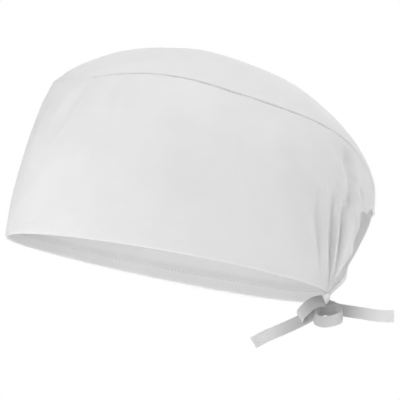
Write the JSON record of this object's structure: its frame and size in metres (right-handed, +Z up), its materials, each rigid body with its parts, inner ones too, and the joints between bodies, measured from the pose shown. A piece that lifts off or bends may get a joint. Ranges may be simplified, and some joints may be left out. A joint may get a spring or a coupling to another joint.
{
  "type": "medical bandana",
  "caption": "White surgical head cap of thin woven cloth: a wide side wall, a domed crown strip, an open back with gathers, and a narrow tape tied in a bow at the nape.",
  "frame": {"origin": "middle of the head opening, where the cap sits on the head, in the plane of its rim", "axes": "+Z up as worn, -Y towards the forehead, +X towards the wearer's left"},
  "size_m": [0.1766, 0.2564, 0.1996],
  "materials": {
    "white_poplin": "matt plain weave",
    "white_tape": "matt woven tape"
  },
  "bodies": {
    "root": {"side_band": "white_poplin", "crown_panel": "white_poplin", "tie_knot": "white_tape", "tie_loop_front": "white_tape", "tie_loop_rear": "white_tape", "tie_tail_front": "white_tape", "tie_tail_rear": "white_tape"}
  },
  "joints": []
}
